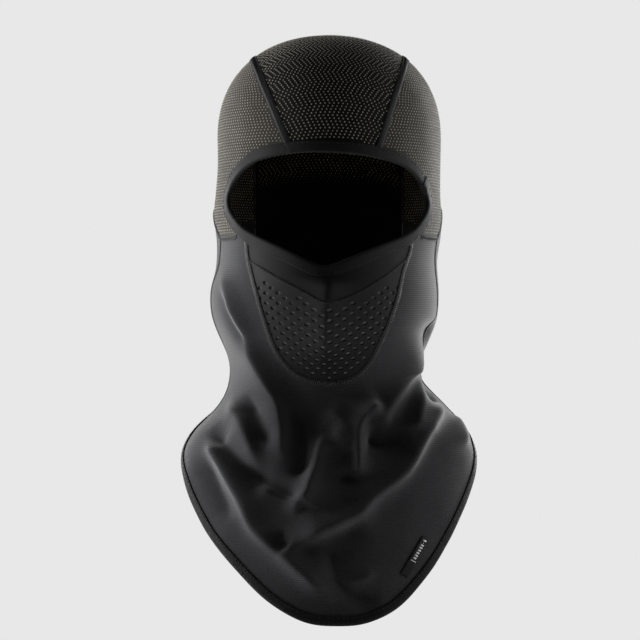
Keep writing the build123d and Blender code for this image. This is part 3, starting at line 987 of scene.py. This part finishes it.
def addDot(spot, facing, face, rowAlong):
    number = panelOfFace[face]
    if number not in (num["crown"], num["side"]):
        return
    if seamTree.find(spot)[2] < dots["keepOff"] * mm or edgeTree.find(spot)[2] < dots["keepOffEdge"] * mm:
        return
    up = np.array(facing)
    along = np.cross(up, rowAlong)
    along = along / max(np.linalg.norm(along), 1e-6)
    size = dots["radius"] * mm * jitter(0.08)
    group = "side_dots_left" if spot.x > 0 else "side_dots_right"
    if number == num["crown"]:
        group = "crown_dots"
    centre = np.array(spot) + up * (dots["rise"] / 2 - 0.04) * mm
    dotPlaces[group].append((centre, along, up, size, size * 0.95, dots["rise"] * mm))
    if spot.y > -0.07 and -0.06 < spot.z < 0.06:
        # on the crown strip they shrink and stop towards the nape: painted shade, where the inside lies in
        # shadow
        paintedShadeFade = 1.0
        if number == num["crown"]:
            arch = (4 + 10 * (1 - (spot.x / 0.06) ** 2)) * mm
            paintedShadeFade = float(smoothStep((spot.z - arch + 8 * mm) / (20 * mm)))
        if paintedShadeFade > 0.25:
            inner = np.array(spot) - up * (worn["clothThickness"] + dots["rise"] / 2 - 0.04) * mm
            dotPlaces["inner_dots"].append((inner, along, -up, size * paintedShadeFade, size * 0.95 * paintedShadeFade,
                                            dots["rise"] * mm))


def castDot(start, direction):
    spot, facing, face, _ = skin.ray_cast(Vector(start) * mm, Vector(direction))
    return spot, facing, face


# rows across the crown, from the brow over the top and down the back
angle = -0.35
row = 0
while angle < math.pi + 0.5:
    heading = (0, -math.cos(angle), math.sin(angle))
    middleSpot, _, _ = castDot((0, 0, 0), heading)
    radius = middleSpot.length / mm if middleSpot is not None else 95
    for column in range(-22, 23):
        x = (column + 0.5 * (row % 2)) * dots["pitch"] + zigzag(row)
        spot, facing, face = castDot((x, 0, 0), heading)
        if spot is not None and panelOfFace[face] == num["crown"]:
            addDot(spot, facing, face, np.array((1.0, 0, 0)))
    angle += dots["rowPitch"] / radius
    row += 1

# rows round the sides, level with the brow and rising over the temples
rise = dots["sideLow"]
row = 0
sideProfile = wornPoint(np.full(rowCount + 1, math.pi / 2), profileRows)
sideLength = lengthAlong(sideProfile)
sideLength = sideLength - np.interp(0, sideProfile[:, 2], sideLength)
ringTurns = np.linspace(0, math.pi, 361)
while rise < dots["sideHigh"]:
    profileRow = np.interp(rise, sideLength, profileRows)
    ring = wornPoint(ringTurns, np.full(len(ringTurns), profileRow))
    ringLength = lengthAlong(ring)
    offset = np.interp(math.pi / 2, ringTurns, ringLength)
    for column in range(-50, 51):
        mark = offset + (column + 0.5 * (row % 2)) * dots["pitch"] + zigzag(row)
        if not 0 < mark < ringLength[-1]:
            continue
        turn = np.interp(mark, ringLength, ringTurns)
        for hand in (1, -1):
            point = wornPoint(np.array([hand * turn]), np.array([profileRow]))[0]
            spot, facing, face, _ = skin.find_nearest(Vector(point) * mm)
            if panelOfFace[face] == num["side"]:
                addDot(spot, facing, face, np.array((0, 0, 1.0)))
    rise += dots["rowPitch"]
    row += 1

dotNodes = {"crown_dots": "crown_panel", "inner_dots": "crown_panel",
            "side_dots_left": "side_panel_left", "side_dots_right": "side_panel_right"}
for name, places in dotPlaces.items():
    print("  ", name, len(places))
    # the inside dots take the lighter dot colour: painted light
    look = looks["inner_dot_painted_light" if name == "inner_dots" else "dot"]
    piece = addObject(beads(places, "dot"), name, look, smooth=False)
    declare(piece, dotNodes[name])

# ---------- the small woven label by the hem
print("pieces: label")

label = {"centre": (59, -254), "lean": math.radians(58), "length": 30, "width": 6.6, "thickness": 0.5,
         "lift": 0.75, "markLift": 0.86, "markThickness": 0.12}


def onLabel(along, across, lift):
    dx = along * math.cos(label["lean"]) - across * math.sin(label["lean"])
    dz = along * math.sin(label["lean"]) + across * math.cos(label["lean"])
    start = Vector((label["centre"][0] + dx, -200, label["centre"][1] + dz)) * mm
    spot, facing, _, _ = skin.ray_cast(start, Vector((0, 1, 0)))
    return np.array(spot) + np.array(facing) * lift * mm


def labelPatch(name, along, across, length, width, lift, look, cuts):
    bm = bmesh.new()
    uv = bm.loops.layers.uv.new("weave")
    bmesh.ops.create_grid(bm, x_segments=cuts[0], y_segments=cuts[1], size=0.5)
    for face in bm.faces:
        for loop in face.loops:
            loop[uv].uv = (loop.vert.co.x * length * mm, loop.vert.co.y * width * mm)
    for vert in bm.verts:
        vert.co = onLabel(along + vert.co.x * length, across + vert.co.y * width, lift)
    for _ in range(2):
        relax(bm)
    bmesh.ops.recalc_face_normals(bm, faces=bm.faces)
    piece = addObject(bm, name, looks[look])
    if sum(polygon.normal.y for polygon in piece.data.polygons) > 0:
        piece.data.flip_normals()
    return piece


labelPiece = labelPatch("hem_label_cloth", 0, 0, label["length"], label["width"], label["lift"],
                        "woven_label", (30, 8))
declare(addWall(labelPiece, label["thickness"]), "hem_label")
# generic marks: a bar at the lower end and plain blocks where letters would be
marks = [(-3.4, 0, 0.6, 4.8), (-1.2, 0, 1.4, 2.7), (0.8, 0, 1.5, 2.7), (2.8, 0, 1.5, 2.7), (4.8, 0, 1.5, 2.7),
         (6.8, 0, 1.4, 2.7), (8.7, 0, 1.5, 2.7), (10.3, 0, 0.8, 0.5), (12.2, 0, 1.5, 2.7)]
for count, (along, across, length, width) in enumerate(marks):
    mark = labelPatch(f"hem_label_mark_{count}", along, across, length, width, label["markLift"],
                      "label_mark", (3, 4))
    declare(addWall(mark, label["markThickness"]), "hem_label")
print("camera, light and floor")

studio = {"pale": 0.806, "fill": 0.0, "lens": 156.9, "camera": (-0.0065, -2.0, -0.091), "floor": -0.95,
          "floorGlow": 0.5, "aim": (0, 0, -0.09)}
softboxes = {
    # place, width, height, watts
    "left softbox": ((-1.4, 0.12, 0.05), 0.7, 1.2, 28),
    "right softbox": ((1.4, 0.05, 0.05), 0.7, 1.2, 12),
    "rear left softbox": ((-1.04, 0.94, 0.05), 0.7, 1.2, 19),
    "rear right softbox": ((0.92, 1.06, 0.05), 0.7, 1.2, 28),
    "front fill": ((0.1, -1.4, 0.06), 0.7, 1.2, 0.85),
    "top fill": ((0, -0.8, 1.05), 1.2, 0.7, 0.85),
}

floorMesh = bmesh.new()
bmesh.ops.create_grid(floorMesh, x_segments=1, y_segments=1, size=2.5)
floorData = bpy.data.meshes.new("floor")
floorMesh.to_mesh(floorData)
floorMesh.free()
floorPiece = bpy.data.objects.new("floor", floorData)
floorPiece.location = (0, 0, studio["floor"])
bpy.context.collection.objects.link(floorPiece)
floorData.materials.append(looks["floor"])
floorTree = looks["floor"].node_tree
floorShader = floorTree.nodes["Principled BSDF"]
floorShader.inputs["Emission Color"].default_value = (1, 1, 1, 1)
floorSeen = addNode(floorTree.nodes, "LightPath", {})       # pale to the camera only
floorGlow = addNode(floorTree.nodes, "Math", {1: studio["floorGlow"]}, operation="MULTIPLY")
floorTree.links.new(floorSeen.outputs["Is Camera Ray"], floorGlow.inputs[0])
floorTree.links.new(floorGlow.outputs[0], floorShader.inputs["Emission Strength"])

world = bpy.data.worlds.new("studio")
world.use_nodes = True
worldNodes, worldLinks = world.node_tree.nodes, world.node_tree.links
background = worldNodes["Background"]
background.inputs["Color"].default_value = (studio["pale"], studio["pale"], studio["pale"], 1)
seen = addNode(worldNodes, "LightPath", {})
strength = addNode(worldNodes, "MapRange", {"To Min": studio["fill"]})   # pale, but gives the cloth no light
worldLinks.new(seen.outputs["Is Camera Ray"], strength.inputs["Value"])
worldLinks.new(strength.outputs["Result"], background.inputs["Strength"])
bpy.context.scene.world = world

camera = bpy.data.cameras.new("camera")
camera.lens = studio["lens"]
camera.sensor_width = 36
cameraPiece = bpy.data.objects.new("camera", camera)
cameraPiece.location = studio["camera"]
cameraPiece.rotation_euler = (math.radians(90), 0, 0)
bpy.context.collection.objects.link(cameraPiece)
bpy.context.scene.camera = cameraPiece

for name, (place, width, height, watts) in softboxes.items():
    light = bpy.data.lights.new(name, "AREA")
    light.shape = "RECTANGLE"
    light.size = width
    light.size_y = height
    light.energy = watts
    lamp = bpy.data.objects.new(name, light)
    lamp.location = place
    lamp.rotation_euler = (Vector(studio["aim"]) - Vector(place)).to_track_quat("-Z", "Y").to_euler()
    bpy.context.collection.objects.link(lamp)

bpy.context.scene.view_settings.view_transform = "Standard"
